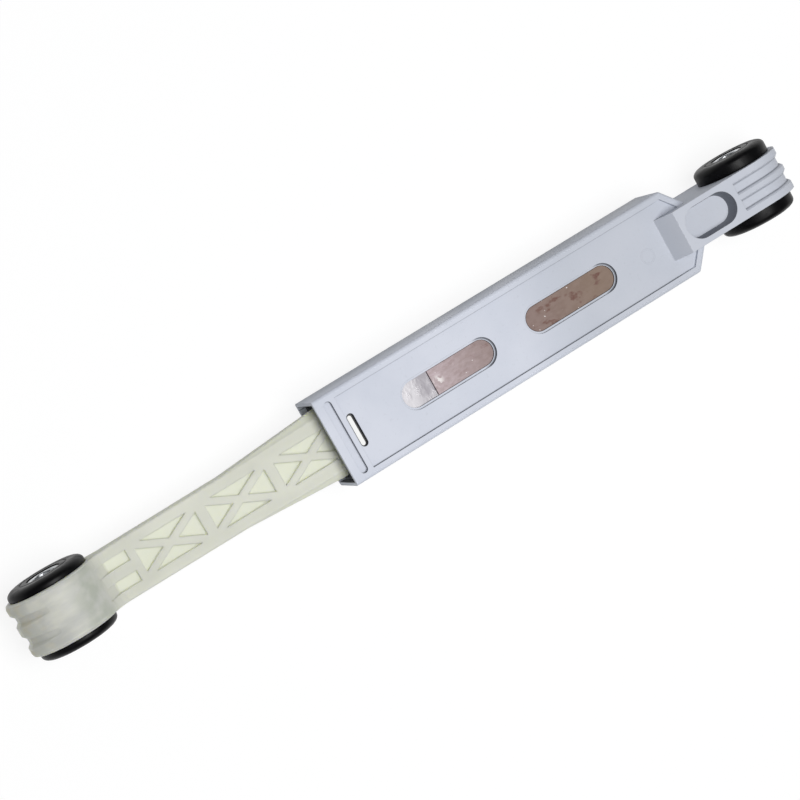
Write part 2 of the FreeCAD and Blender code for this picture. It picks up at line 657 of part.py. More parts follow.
def brace_cell(sketch, start):
    """Four triangular pockets between a cell's frame and its crossed braces."""
    end = f"{start} - sizes.cell_length"
    middle = f"{start} - sizes.cell_length / 2"
    side = "sizes.cell_width / 2"
    for edge, sign in ((start, "-"), (end, "+")):
        apex = f"{edge} {sign} (sizes.cell_length / 2 - {BRACE_ALONG})"
        reach = f"({side} - {BRACE_ACROSS})"
        add_polygon(sketch, [(edge, f"-{reach}"), (edge, reach), (apex, "0")])
    for sign in ("-", ""):
        corners = [
            (f"{end} + {BRACE_ALONG}", side),
            (f"{start} - {BRACE_ALONG}", side),
            (middle, BRACE_ACROSS),
        ]
        add_polygon(sketch, [(x, f"{sign}({y})") for x, y in corners])


def brace_arm(body):
    """X-braced cells and the two wells next to the eye, on both faces of the arm."""
    face = "sizes.rod_depth / 2"
    cells = add_sketch(body, "cells", "XY_Plane", face)
    for index in range(CELL_COUNT):
        brace_cell(cells, f"{ROD_EYE} - sizes.cell_start - {index} * {CELL_PITCH}")
    sunk = pocket(body, cells, "braced", "sizes.cell_sink")
    end = f"{ROD_EYE} - sizes.cell_start + sizes.well_post"
    profile = [
        (end, f"{face} - sizes.cell_sink"),
        (f"{end} + sizes.well_floor", f"{face} - sizes.cell_sink"),
        (f"{end} + sizes.well_length", f"{face} + sizes.well_rise"),
        (f"{end} + sizes.well_length", "sizes.ring_radius"),
        (end, "sizes.ring_radius"),
    ]
    dug = []
    for name, edge in (("near", "sizes.well_rib / 2"), ("far", "-sizes.well_rib / 2 - sizes.well_width")):
        well = add_sketch(body, f"{name}_well", "XZ_Plane", f"-({edge})")
        add_polygon(well, profile)
        dug.append(pocket(body, well, f"{name}_dug", "sizes.well_width"))
    mirror(body, [sunk] + dug, "rear_cells")


def build_rod():
    """One-piece moulded rod: eye, braced arm, flared root and piston head."""
    body = add_body("piston_rod")
    add_plain_ring(body)
    build_arm(body)
    add_head(body)
    brace_arm(body)
    ridge_tip(body)
    return body


def build_bush(label, centre, eye_width, flange):
    """Rubber bush: core through the eye, domed flange on each side."""
    body = add_body(label)
    sketch = add_sketch(body, "profile", "XY_Plane")
    add_axis(sketch, (centre, "0"))
    core = f"{centre} + sizes.eye_bore / 2 - sizes.turn_gap"
    rim = f"{centre} + sizes.flange_diameter / 2"
    nose = f"{centre} + sizes.nose_diameter / 2"
    shoulder = f"({eye_width} / 2 + {flange} - sizes.dome_rise)"
    half = [
        (core, f"{eye_width} / 2"),
        (rim, f"{eye_width} / 2"),
        (rim, shoulder),
        (f"{nose} + {DOME_SPREAD}", f"{shoulder} + {DOME_STEP}"),
        (nose, f"{shoulder} + sizes.dome_rise"),
        (f"{centre} + sizes.sleeve_diameter / 2 + sizes.turn_gap", f"{shoulder} + sizes.dome_rise"),
    ]
    add_polygon(sketch, half + [(x, f"-({y})") for x, y in reversed(half)])
    revolve(body, sketch, "turned")
    return body


def build_sleeve(label, centre, eye_width, flange):
    """Steel sleeve that the bolt clamps, with bevelled ends."""
    body = add_body(label)
    sketch = add_sketch(body, "profile", "XY_Plane")
    add_axis(sketch, (centre, "0"))
    end = f"({eye_width} / 2 + {flange} - sizes.sleeve_recess)"
    skin = f"{centre} + sizes.sleeve_diameter / 2"
    half = [
        (skin, f"{end} - sizes.sleeve_bevel"),
        (f"{skin} - sizes.sleeve_bevel", end),
        (f"{centre} + sizes.bolt_bore / 2", end),
    ]
    add_polygon(sketch, half + [(x, f"-({y})") for x, y in reversed(half)])
    revolve(body, sketch, "turned")
    return body


def check_and_export(bodies):
    """Stop on any failed object, then write one file for each sub-part."""
    doc.recompute()
    for item in doc.Objects:
        if "Invalid" in item.State or "Error" in item.State:
            raise RuntimeError(f"{item.Name} failed: {item.State}")
    os.makedirs("parts", exist_ok=True)
    for body in bodies:
        shape = body.Shape
        if shape.isNull() or not shape.isValid() or len(shape.Solids) != 1:
            raise RuntimeError(f"{body.Label} has no valid single solid")
        shape.exportStep(f"parts/{body.Label}.step")


HOUSING_BUSHING = ("0", "sizes.housing_eye_width", "sizes.housing_flange")
ROD_BUSHING = (ROD_EYE, "sizes.rod_eye_width", "sizes.rod_flange")
check_and_export([
    build_housing(),
    build_lining("front_lining", rear=False),
    build_lining("rear_lining", rear=True),
    build_guide("front_guide", rear=False),
    build_guide("rear_guide", rear=True),
    build_rod(),
    build_bush("housing_bush", *HOUSING_BUSHING),
    build_bush("rod_bush", *ROD_BUSHING),
    build_sleeve("housing_sleeve", *HOUSING_BUSHING),
    build_sleeve("rod_sleeve", *ROD_BUSHING),
])
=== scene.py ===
"""Looks of a washing machine shock absorber.

The moulded case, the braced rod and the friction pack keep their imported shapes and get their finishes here.
The two rubber bushes and their steel sleeves are modelled anew, because a moulded lip and a turned bevel
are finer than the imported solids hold.
"""
import logging
import math
from abc import ABC, abstractmethod
from dataclasses import dataclass, field, replace
from enum import Enum, IntEnum
from typing import Any, Sequence

import bpy
from mathutils import Matrix, Vector


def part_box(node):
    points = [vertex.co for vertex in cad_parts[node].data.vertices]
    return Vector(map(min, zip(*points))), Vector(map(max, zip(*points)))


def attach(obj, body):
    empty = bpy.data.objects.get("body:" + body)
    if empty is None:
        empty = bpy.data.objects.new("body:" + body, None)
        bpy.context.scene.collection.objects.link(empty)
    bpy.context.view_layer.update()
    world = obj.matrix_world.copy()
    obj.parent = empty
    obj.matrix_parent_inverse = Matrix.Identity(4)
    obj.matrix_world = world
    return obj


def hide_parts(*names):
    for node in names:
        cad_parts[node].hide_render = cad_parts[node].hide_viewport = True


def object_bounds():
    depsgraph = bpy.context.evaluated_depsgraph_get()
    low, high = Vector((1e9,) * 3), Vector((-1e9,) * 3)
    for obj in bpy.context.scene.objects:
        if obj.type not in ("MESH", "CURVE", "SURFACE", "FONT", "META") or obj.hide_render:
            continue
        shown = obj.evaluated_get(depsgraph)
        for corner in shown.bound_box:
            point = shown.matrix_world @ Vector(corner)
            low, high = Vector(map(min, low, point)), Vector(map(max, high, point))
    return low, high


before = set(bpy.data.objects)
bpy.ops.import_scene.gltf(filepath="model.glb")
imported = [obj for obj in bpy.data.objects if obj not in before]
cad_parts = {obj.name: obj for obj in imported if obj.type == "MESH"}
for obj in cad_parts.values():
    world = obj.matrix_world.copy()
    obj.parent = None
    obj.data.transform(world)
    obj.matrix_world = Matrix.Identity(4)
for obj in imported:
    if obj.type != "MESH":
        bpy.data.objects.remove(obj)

LOG = logging.getLogger("shock_absorber")
MM = 0.001
CAD_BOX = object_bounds()
TURNED_SEGMENTS = 128
ROUNDING_SEGMENTS = 3
EDGE_SAMPLES = 6
SHARP_ANGLE = math.radians(35)
RUNNING_GAP = 0.05
MERGE_GAP = 0.001

Colour = tuple[float, float, float, float]
Socket = bpy.types.NodeSocket
Ring = tuple[float, float]


class Body(Enum):
    """Rigid bodies of the strut that pieces ride on."""

    HOUSING = "housing"
    ROD = "rod"
    HOUSING_SLEEVE = "housing_sleeve"
    ROD_SLEEVE = "rod_sleeve"


class Slot(Enum):
    """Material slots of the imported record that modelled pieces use."""

    RUBBER = "bush_rubber"
    STEEL = "zinc_steel"


class Axis(Enum):
    """Direction of a border: its axis, and whether it counts to both sides of the strut's middle."""

    ALONG = ("X", False)
    ACROSS = ("Y", True)
    DEEP = ("Z", True)
    UP = ("Z", False)


class ColourMix(IntEnum):
    """Sockets of a mix of two colours."""

    SHARE = 0
    RESULT = 2
    UNDER = 6
    OVER = 7


def linear(hex_colour: str) -> Colour:
    """Turn an sRGB hex colour into linear light.

    Args:
        hex_colour: colour such as "#CBD0DC".

    Returns:
        Linear red, green, blue and an alpha of 1.
    """
    parts = [int(hex_colour[place:place + 2], 16) / 255 for place in (1, 3, 5)]
    light = [part / 12.92 if part <= 0.04045 else ((part + 0.055) / 1.055) ** 2.4 for part in parts]
    return (light[0], light[1], light[2], 1.0)


def add_node(
    tree: bpy.types.NodeTree,
    kind: str,
    settings: dict[str, Any] | None = None,
    inputs: dict[str | int, Any] | None = None,
) -> bpy.types.Node:
    """Add a shader node with its settings, constants and links.

    Args:
        tree: node tree that gets the node.
        kind: node type without its ShaderNode prefix.
        settings: attributes of the node.
        inputs: socket name or number to a constant or to another node's output.

    Returns:
        The new node.
    """
    node = tree.nodes.new("ShaderNode" + kind)
    for name, value in (settings or {}).items():
        setattr(node, name, value)
    for name, value in (inputs or {}).items():
        if isinstance(value, Socket):
            tree.links.new(value, node.inputs[name])
        else:
            node.inputs[name].default_value = value
    return node


class Pattern(ABC):
    """Something that covers a share of a surface, from 0 to 1."""

    @abstractmethod
    def share(self, tree: bpy.types.NodeTree) -> Socket:
        """Draw the pattern.

        Args:
            tree: node tree of the material.

        Returns:
            Socket with the share.
        """


@dataclass(frozen=True)
class Blotches(Pattern):
    """Cloudy pattern whose blotches have a real size in millimetres.

    Stretch says how much longer a blotch is along each axis. Noise values from the low to the high end of
    the span become shares from least to 1.
    """

    size: float
    stretch: tuple[float, float, float] = (1.0, 1.0, 1.0)
    detail: float = 2.0
    span: tuple[float, float] = (0.35, 0.65)
    least: float = 0.0

    def share(self, tree: bpy.types.NodeTree) -> Socket:
        """Draw the blotches.

        Args:
            tree: node tree of the material.

        Returns:
            Socket with the share.
        """
        place = add_node(tree, "TexCoord").outputs["Object"]
        narrower = tuple(1.0 / part for part in self.stretch)
        place = add_node(tree, "Mapping", inputs={"Vector": place, "Scale": narrower}).outputs["Vector"]
        per_metre = 1.0 / (self.size * MM)
        noise = {"Vector": place, "Scale": per_metre, "Detail": self.detail}
        cloud = add_node(tree, "TexNoise", inputs=noise).outputs[0]
        low, high = self.span
        limits = {"Value": cloud, "From Min": low, "From Max": high, "To Min": self.least}
        return add_node(tree, "MapRange", inputs=limits).outputs[0]


@dataclass(frozen=True)
class Border(Pattern):
    """Soft straight border: nothing at its start, everything from its end on, in millimetres."""

    axis: Axis
    start: float
    end: float

    def share(self, tree: bpy.types.NodeTree) -> Socket:
        """Draw the border.

        Args:
            tree: node tree of the material.

        Returns:
            Socket with the share.
        """
        letter, both_sides = self.axis.value
        place = add_node(tree, "TexCoord").outputs["Object"]
        where = add_node(tree, "SeparateXYZ", inputs={"Vector": place}).outputs[letter]
        if both_sides:
            where = add_node(tree, "Math", {"operation": "ABSOLUTE"}, {0: where}).outputs[0]
        limits = {"Value": where, "From Min": self.start * MM, "From Max": self.end * MM}
        return add_node(tree, "MapRange", inputs=limits).outputs[0]


@dataclass(frozen=True)
class RoundBorder(Pattern):
    """Soft round border about a place on the wide faces, with its radii in millimetres."""

    centre: tuple[float, float]
    start: float
    end: float

    def share(self, tree: bpy.types.NodeTree) -> Socket:
        """Draw the border.

        Args:
            tree: node tree of the material.

        Returns:
            Socket with the share.
        """
        place = add_node(tree, "TexCoord").outputs["Object"]
        flat = add_node(tree, "VectorMath", {"operation": "MULTIPLY"}, {0: place, 1: (1.0, 1.0, 0.0)})
        axis = (self.centre[0] * MM, self.centre[1] * MM, 0.0)
        away = add_node(tree, "VectorMath", {"operation": "DISTANCE"}, {0: flat.outputs[0], 1: axis})
        distance = away.outputs["Value"]
        limits = {"Value": distance, "From Min": self.start * MM, "From Max": self.end * MM}
        return add_node(tree, "MapRange", inputs=limits).outputs[0]


@dataclass(frozen=True)
class Walls(Pattern):
    """Faces that stand across the strut's wide faces, told by how little they look up or down."""

    flattest: float = 0.45
    steepest: float = 0.25

    def share(self, tree: bpy.types.NodeTree) -> Socket:
        """Find the walls.

        Args:
            tree: node tree of the material.

        Returns:
            Socket with the share.
        """
        normal = add_node(tree, "NewGeometry").outputs["True Normal"]
        rise = add_node(tree, "SeparateXYZ", inputs={"Vector": normal}).outputs["Z"]
        level = add_node(tree, "Math", {"operation": "ABSOLUTE"}, {0: rise}).outputs[0]
        limits = {"Value": level, "From Min": self.flattest, "From Max": self.steepest}
        return add_node(tree, "MapRange", inputs=limits).outputs[0]


@dataclass(frozen=True)
class Edges(Pattern):
    """Edges rounded by a radius in millimetres, told by how far the rounding turns the surface."""

    radius: float
    flattest: float = 0.995
    sharpest: float = 0.86

    def normal(self, tree: bpy.types.NodeTree) -> Socket:
        """Round the edges, once in a material.

        Args:
            tree: node tree of the material.

        Returns:
            Socket with the rounded normal.
        """
        name = "rounded_edges"
        rounded = tree.nodes.get(name)
        if rounded is None:
            settings = {"name": name, "samples": EDGE_SAMPLES}
            rounded = add_node(tree, "Bevel", settings, {"Radius": self.radius * MM})
        return rounded.outputs[0]

    def share(self, tree: bpy.types.NodeTree) -> Socket:
        """Find the edges.

        Args:
            tree: node tree of the material.

        Returns:
            Socket with the share.
        """
        plain = add_node(tree, "NewGeometry").outputs["Normal"]
        normals = {0: self.normal(tree), 1: plain}
        turn = add_node(tree, "VectorMath", {"operation": "DOT_PRODUCT"}, normals).outputs["Value"]
        limits = {"Value": turn, "From Min": self.flattest, "From Max": self.sharpest}
        return add_node(tree, "MapRange", inputs=limits).outputs[0]


def overlap(tree: bpy.types.NodeTree, patterns: Sequence[Pattern], amount: float = 1.0) -> Socket:
    """Share of the places where all the patterns meet.

    Args:
        tree: node tree of the material.
        patterns: patterns that meet there.
        amount: share where all of them are full.

    Returns:
        Socket with the share.
    """
    factors: list[Any] = [pattern.share(tree) for pattern in patterns]
    if amount != 1.0:
        factors.append(amount)
    result = factors[0]
    for factor in factors[1:]:
        result = add_node(tree, "Math", {"operation": "MULTIPLY"}, {0: result, 1: factor}).outputs[0]
    return result


@dataclass(frozen=True)
class Coat:
    """Colour over what lies under it, where its patterns meet."""

    colour: str
    patterns: tuple[Pattern, ...]
    amount: float = 1.0


@dataclass(frozen=True)
class Gloss:
    """Roughness where its patterns are bare and where they are full."""

    bare: float
    full: float
    patterns: tuple[Pattern, ...]


@dataclass(frozen=True)
class Relief:
    """Raised pattern with its height in millimetres and how strongly it shows."""

    height: float
    strength: float
    patterns: tuple[Pattern, ...]


@dataclass(frozen=True)
class Finish:
    """A real material with the way its surface was made: coats, gloss and relief over one colour."""

    name: str
    colour: str
    coats: tuple[Coat, ...]
    gloss: Gloss
    reliefs: tuple[Relief, ...]
    constants: tuple[tuple[str, Any], ...]
    edges: Edges | None = None

    def material(self) -> bpy.types.Material:
        """Build the material.

        Returns:
            A node material named for the real one.
        """
        made = bpy.data.materials.new(self.name)
        made.use_nodes = True
        made.diffuse_color = linear(self.colour)
        tree = made.node_tree
        tree.nodes.clear()
        sockets = dict(self.constants)
        sockets["Base Color"] = self.skin(tree)
        shine = overlap(tree, self.gloss.patterns)
        limits = {"Value": shine, "To Min": self.gloss.bare, "To Max": self.gloss.full}
        sockets["Roughness"] = add_node(tree, "MapRange", inputs=limits).outputs[0]
        sockets["Normal"] = self.surface(tree)
        shader = add_node(tree, "BsdfPrincipled", inputs=sockets)
        add_node(tree, "OutputMaterial", inputs={"Surface": shader.outputs["BSDF"]})
        return made

    def skin(self, tree: bpy.types.NodeTree) -> Socket:
        """Lay the coats over the colour.

        Args:
            tree: node tree of the material.

        Returns:
            Socket with the colour of the surface.
        """
        under: Any = linear(self.colour)
        for coat in self.coats:
            share = overlap(tree, coat.patterns, coat.amount)
            layers = {ColourMix.SHARE: share, ColourMix.UNDER: under, ColourMix.OVER: linear(coat.colour)}
            under = add_node(tree, "Mix", {"data_type": "RGBA"}, layers).outputs[ColourMix.RESULT]
        return under

    def surface(self, tree: bpy.types.NodeTree) -> Socket:
        """Raise the reliefs on the rounded edges.

        Args:
            tree: node tree of the material.

        Returns:
            Socket with the normal of the surface.
        """
        normal = self.edges.normal(tree) if self.edges else None
        for relief in self.reliefs:
            height = overlap(tree, relief.patterns)
            raised = {"Strength": relief.strength, "Distance": relief.height * MM, "Height": height}
            if normal is not None:
                raised["Normal"] = normal
            normal = add_node(tree, "Bump", inputs=raised).outputs["Normal"]
        return normal


# Grain of the moulds and drawing lines are finer than a pixel on the real strut, so they are drawn coarser.
CASE_GRAIN = Blotches(0.45, detail=1.0)
ROD_GRAIN = Blotches(0.5, detail=1.0)
RUBBER_GRAIN = Blotches(0.4, detail=1.0)
DRAWN_LINES = Blotches(0.25, stretch=(1.0, 14.0, 1.0), detail=1.0)


@dataclass(frozen=True)
class CaseMoulding:
    """Small forms of the case that its finish follows, in millimetres.

    A pair of numbers holds the start and the end of a soft border.
    """

    window_ends: tuple[float, float] = (62.2, 109.6)
    window_step: tuple[float, float] = (4.45, 4.6)
    window_side: tuple[float, float] = (5.5, 5.3)
    step_reach: tuple[float, float] = (6.0, 5.5)
    step_blend: float = 1.0
    step_face: tuple[float, float] = (8.3, 8.2)
    step_amount: float = 0.75
    valleys: tuple[float, float] = (1.46, 4.38)
    valley_width: float = 0.4
    valley_end: tuple[float, float] = (9.9, 9.6)
    valley_amount: float = 0.45
    ring_centre: tuple[float, float] = (45.0, 1.5)
    ring_inside: tuple[float, float] = (2.0, 2.15)
    ring_outside: tuple[float, float] = (2.6, 2.45)

    def painted_window_shade(self, colour: str) -> tuple[Coat, ...]:
        """Painted shade: a dark crescent in the stepped end of each window.

        Args:
            colour: colour of the crescents.

        Returns:
            One coat for each window.
        """
        far, near = self.step_reach
        return tuple(
            Coat(colour, (
                RoundBorder((end, 0.0), *self.window_step),
                Border(Axis.ALONG, end + self.step_blend, end - self.step_blend),
                Border(Axis.ALONG, end - far, end - near),
                Border(Axis.ACROSS, *self.window_side),
                Border(Axis.DEEP, *self.step_face),
            ), self.step_amount)
            for end in self.window_ends
        )

    def painted_valley_shade(self, colour: str) -> tuple[Coat, ...]:
        """Painted shade: dark lines along the feet of the eye's ridges.

        Args:
            colour: colour of the lines.

        Returns:
            One coat for each pair of feet.
        """
        return tuple(
            Coat(colour, (
                Border(Axis.ACROSS, foot - self.valley_width, foot),
                Border(Axis.ACROSS, foot + self.valley_width, foot),
                Border(Axis.ALONG, *self.valley_end),
            ), self.valley_amount)
            for foot in self.valleys
        )

    def ring(self) -> tuple[Pattern, ...]:
        """Plain raised ring on the panel.

        Returns:
            Its inner and its outer border.
        """
        inner = RoundBorder(self.ring_centre, *self.ring_inside)
        outer = RoundBorder(self.ring_centre, *self.ring_outside)
        return (inner, outer)


CASE = CaseMoulding()
CASE_EDGES = Edges(0.3)
# Painted shade for the case's recess walls, window ends and ridge feet.
CASE_PAINTED_SHADE = "#3C414C"
# Grime for the fine specks, and painted shade towards the closed end.
CASE_GRIME_AND_SHADE = "#A9ACB0"
FLOW_CLOUDS = Blotches(24.0, detail=4.0)
FINE_SPECKS = Blotches(1.1, detail=3.0, span=(0.62, 0.8))
EDGE_SCUFFS = Blotches(1.6, span=(0.42, 0.6))
# Borders of the painted shade on the narrow sides and towards the closed end.
NARROW_SIDES = Border(Axis.ACROSS, 13.9, 14.7)
TO_REAR_FACE = Border(Axis.UP, 5.0, -9.0)
TO_CLOSED_END = Border(Axis.ALONG, 98.0, 72.0)
# Walls and corners of the case's recesses, which get painted shade.
PANEL_WALLS = (
    Walls(),
    Border(Axis.ALONG, 37.6, 38.0),
    Border(Axis.ALONG, 165.2, 165.0),
    Border(Axis.ACROSS, 12.7, 12.6),
)
OVAL_WALLS = (
    Walls(),
    Border(Axis.ALONG, 9.0, 9.4),
    Border(Axis.ALONG, 38.0, 37.6),
    Border(Axis.ACROSS, 6.9, 6.7),
)
PANEL_CORNERS = (
    Border(Axis.ACROSS, 12.0, 12.35),
    Border(Axis.ACROSS, 12.6, 12.5),
    Border(Axis.DEEP, 8.9, 8.7),
    Border(Axis.ALONG, 33.0, 35.0),
)
# Inside of the mouth, which gets painted shade.
MOUTH_INSIDE_SHADE = (
    Border(Axis.ALONG, 158.8, 159.2),
    Border(Axis.ACROSS, 13.7, 13.6),
    Border(Axis.DEEP, 8.15, 8.1),
)


# A broad soft highlight from the eroded mould, faint flow clouds and edges rubbed pale.
@dataclass(frozen=True)
class MouldedPolypropylene(Finish):
    """Grey polypropylene from a spark-eroded mould."""

    name: str = "moulded_grey_polypropylene"
    colour: str = "#D7DBE6"
    coats: tuple[Coat, ...] = (
        Coat("#D0D5E1", (FLOW_CLOUDS,)),
        Coat(CASE_GRIME_AND_SHADE, (FINE_SPECKS,), amount=0.2),
        # Painted shade: the narrow sides are painted greyer towards the rear face, and the case duller
        # towards its closed end.
        Coat("#7E8282", (NARROW_SIDES, TO_REAR_FACE), amount=0.5),
        Coat(CASE_GRIME_AND_SHADE, (TO_CLOSED_END,), amount=0.3),
        Coat("#DFE2E8", (CASE_EDGES, EDGE_SCUFFS)),
        # Painted shade: the walls of the panel, the windows, the slot, the groove and the oval pocket are
        # painted dark.
        Coat(CASE_PAINTED_SHADE, PANEL_WALLS, amount=0.7),
        Coat(CASE_PAINTED_SHADE, OVAL_WALLS, amount=0.7),
        Coat(CASE_PAINTED_SHADE, PANEL_CORNERS, amount=0.5),
        # Painted shade in the stepped end of each window.
        *CASE.painted_window_shade(CASE_PAINTED_SHADE),
        # Painted shade along the feet of the eye's ridges.
        *CASE.painted_valley_shade(CASE_PAINTED_SHADE),
        # Painted shade: the inside of the mouth is painted the darkest.
        Coat("#26282C", MOUTH_INSIDE_SHADE, amount=0.85),
    )
    gloss: Gloss = Gloss(bare=0.52, full=0.64, patterns=(FLOW_CLOUDS,))
    reliefs: tuple[Relief, ...] = (
        Relief(height=0.15, strength=0.5, patterns=CASE.ring()),
        Relief(height=0.02, strength=0.3, patterns=(CASE_GRAIN,)),
    )
    constants: tuple[tuple[str, Any], ...] = (("IOR", 1.49), ("Specular IOR Level", 0.35))
    edges: Edges = CASE_EDGES


ROD_EDGES = Edges(0.6)
# Pale for rubbed wear on the crown, and for rubbed wear with a painted highlight on the edges.
ROD_RUBBED_AND_HIGHLIGHT = "#E2E2D8"
# Painted light for the rims of the eye and the walls of the pockets.
ROD_PAINTED_LIGHT = "#F4F5EA"
ROD_CLOUDS = Blotches(14.0, stretch=(2.0, 1.0, 1.0), detail=4.0)
SINK_MARKS = Blotches(7.0, detail=1.0)
# Depths at which the painted glow and the painted grey of the plastic change.
THIN_FLOORS = Border(Axis.DEEP, 3.1, 2.5)
THICK_EYE = Border(Axis.DEEP, 4.0, 12.0)
# Warm stain at the eye's tip, painted lighter as well to stand in for light.
TIP_STAIN_AND_LIGHT = (
    Blotches(6.0, stretch=(1.6, 1.0, 1.0), detail=4.0, span=(0.5, 0.68)),
    Border(Axis.ALONG, 262.0, 268.0),
)
CROWN_STREAKS = (
    Blotches(4.0, stretch=(4.0, 1.0, 1.0), detail=3.0, span=(0.4, 0.65)),
    Border(Axis.ALONG, 250.0, 258.0),
    Border(Axis.DEEP, 9.0, 11.0),
)
# Painted shade at the eye's root, where it meets the arm.
ROOT_PAINTED_SHADE = (
    Blotches(5.0, detail=3.0, span=(0.35, 0.6)),
    Border(Axis.ALONG, 245.0, 250.0),
    Border(Axis.ALONG, 260.0, 254.0),
)
EYE_RIMS = (Border(Axis.ACROSS, 8.2, 8.7), Border(Axis.ALONG, 246.0, 250.0))
POCKET_WALLS = (Walls(), Border(Axis.DEEP, 3.4, 3.25), Border(Axis.ACROSS, 6.2, 5.8))


# Painted light: the plastic is painted ivory where it is thin, as if glowing with light through it, and
# greyer where it is thick.
@dataclass(frozen=True)
class MouldedPolyamide(Finish):
    """Natural moulded polyamide with soft clouds and shallow sink marks."""

    name: str = "moulded_natural_polyamide"
    colour: str = "#DFE0D4"
    coats: tuple[Coat, ...] = (
        Coat("#D8D9CE", (ROD_CLOUDS,)),
        # Edges painted paler: partly rubbed wear, partly painted highlight.
        Coat(ROD_RUBBED_AND_HIGHLIGHT, (ROD_EDGES,), amount=0.6),
        # Painted light: thin floors painted glowing ivory, the thick eye painted greyer.
        Coat("#E6E8D8", (THIN_FLOORS,)),
        Coat("#C8C9C4", (THICK_EYE,)),
        # Warm stain and painted light at the eye's tip, rubbed streaks on its crown and painted shade in a
        # greener tone at its root.
        Coat("#DAD4BE", TIP_STAIN_AND_LIGHT, amount=0.8),
        Coat(ROD_RUBBED_AND_HIGHLIGHT, CROWN_STREAKS, amount=0.7),
        Coat("#ACB3A3", ROOT_PAINTED_SHADE, amount=0.55),
        # Painted light: a painted highlight on the rims of the eye and a painted glow on the walls of the
        # pockets.
        Coat(ROD_PAINTED_LIGHT, EYE_RIMS, amount=0.7),
        Coat(ROD_PAINTED_LIGHT, POCKET_WALLS, amount=0.8),
    )
    gloss: Gloss = Gloss(bare=0.5, full=0.62, patterns=(ROD_CLOUDS,))
    reliefs: tuple[Relief, ...] = (
        Relief(height=0.12, strength=0.35, patterns=(SINK_MARKS,)),
        Relief(height=0.02, strength=0.25, patterns=(ROD_GRAIN,)),
    )
    constants: tuple[tuple[str, Any], ...] = (
        ("IOR", 1.53),
        ("Specular IOR Level", 0.3),
        ("Subsurface Weight", 1.0),
        ("Subsurface Radius", (1.0, 1.0, 0.8)),
        ("Subsurface Scale", 2.5 * MM),
    )
    edges: Edges = ROD_EDGES


GREASE = "#97929A"
GREASY_END = Border(Axis.ALONG, 150.0, 142.0)
SMEARS = Blotches(3.0, stretch=(1.0, 1.6, 1.0), detail=2.5, span=(0.38, 0.62))
PUSHED_GREASE = Border(Axis.ALONG, 135.5, 131.0)
# Gap at the lug, which gets a painted shadow.
LUG_GAP_SHADOW = (Border(Axis.ALONG, 150.0, 151.0), Border(Axis.DEEP, 7.9, 7.5))


# Clean white at the lug, with grey smears and wet glints of grease at the inner end.
@dataclass(frozen=True)
class GreasedAcetal(Finish):
    """White acetal guide plate with damper grease."""

    name: str = "greased_white_acetal"
    colour: str = "#F3F3F1"
    coats: tuple[Coat, ...] = (
        Coat("#DAD7DB", (GREASY_END,)),
        Coat(GREASE, (GREASY_END, SMEARS), amount=0.4),
        Coat(GREASE, (PUSHED_GREASE,), amount=0.85),
        # Painted shadow: the plate is painted near-black in the gap by the lug.
        Coat("#1B1B1D", LUG_GAP_SHADOW),
    )
    gloss: Gloss = Gloss(bare=0.42, full=0.16, patterns=(GREASY_END, SMEARS))
    reliefs: tuple[Relief, ...] = (Relief(height=0.15, strength=0.5, patterns=(GREASY_END, SMEARS)),)
    constants: tuple[tuple[str, Any], ...] = (("IOR", 1.48),)


FIBRES = Blotches(0.9, stretch=(1.8, 1.0, 1.0), detail=3.0, span=(0.3, 0.75))
PATCHY_FILM = replace(FIBRES, least=0.55)
FELT_MOTTLE = Blotches(1.6, stretch=(1.8, 1.0, 1.0), detail=4.0, span=(0.42, 0.66))
SOAKED_SPOTS = Blotches(3.4, stretch=(1.5, 1.0, 1.0), detail=3.0, span=(0.57, 0.64))
TO_INNER_END = Border(Axis.ALONG, 88.0, 66.0)
TO_GUIDE = Border(Axis.ALONG, 98.0, 132.0)
# Painted highlight: white glints of grease on the felt, as specks and one spot.
PAINTED_GLINT = "#F0EAE8"
PAINTED_GLINT_SPECKS = Blotches(1.0, detail=1.0, span=(0.77, 0.80))
PAINTED_GLINT_SPOT = (RoundBorder((126.0, 0.3), 2.2, 0.8), Blotches(1.2, span=(0.46, 0.56)))


# Mauve brown felt, olive at its inner end, with dark soaked spots and a pale film by the guide.
@dataclass(frozen=True)
class FrictionFelt(Finish):
    """Pressed friction strip soaked with grease."""

    name: str = "greased_friction_felt"
    colour: str = "#8C766F"
    coats: tuple[Coat, ...] = (
        Coat("#7B635B", (FELT_MOTTLE,), amount=0.6),
        Coat("#857058", (TO_INNER_END,), amount=0.45),
        Coat("#673F30", (SOAKED_SPOTS,)),
        Coat("#D2C1C6", (TO_GUIDE, PATCHY_FILM)),
        # Painted highlight: glints of grease painted white.
        Coat(PAINTED_GLINT, (PAINTED_GLINT_SPECKS,)),
        Coat(PAINTED_GLINT, PAINTED_GLINT_SPOT),
    )
    gloss: Gloss = Gloss(bare=0.58, full=0.40, patterns=(SOAKED_SPOTS,))
    reliefs: tuple[Relief, ...] = (Relief(height=0.08, strength=0.4, patterns=(FIBRES,)),)
    constants: tuple[tuple[str, Any], ...] = (("IOR", 1.47),)


RUBBER_BLOOM = Blotches(4.0, detail=4.0, span=(0.45, 0.75))


# Deep black with a soft sheen, dulled by bloom in patches.
@dataclass(frozen=True)
class MouldedRubber(Finish):
    """Moulded black rubber."""

    name: str = "moulded_black_rubber"
    colour: str = "#060607"
    coats: tuple[Coat, ...] = (Coat("#0F0E10", (RUBBER_BLOOM,)),)
    gloss: Gloss = Gloss(bare=0.36, full=0.56, patterns=(RUBBER_BLOOM,))
    reliefs: tuple[Relief, ...] = (Relief(height=0.02, strength=0.3, patterns=(RUBBER_GRAIN,)),)
    constants: tuple[tuple[str, Any], ...] = (("IOR", 1.45), ("Specular IOR Level", 0.16))


DULL_PATCHES = Blotches(3.0, detail=4.0)


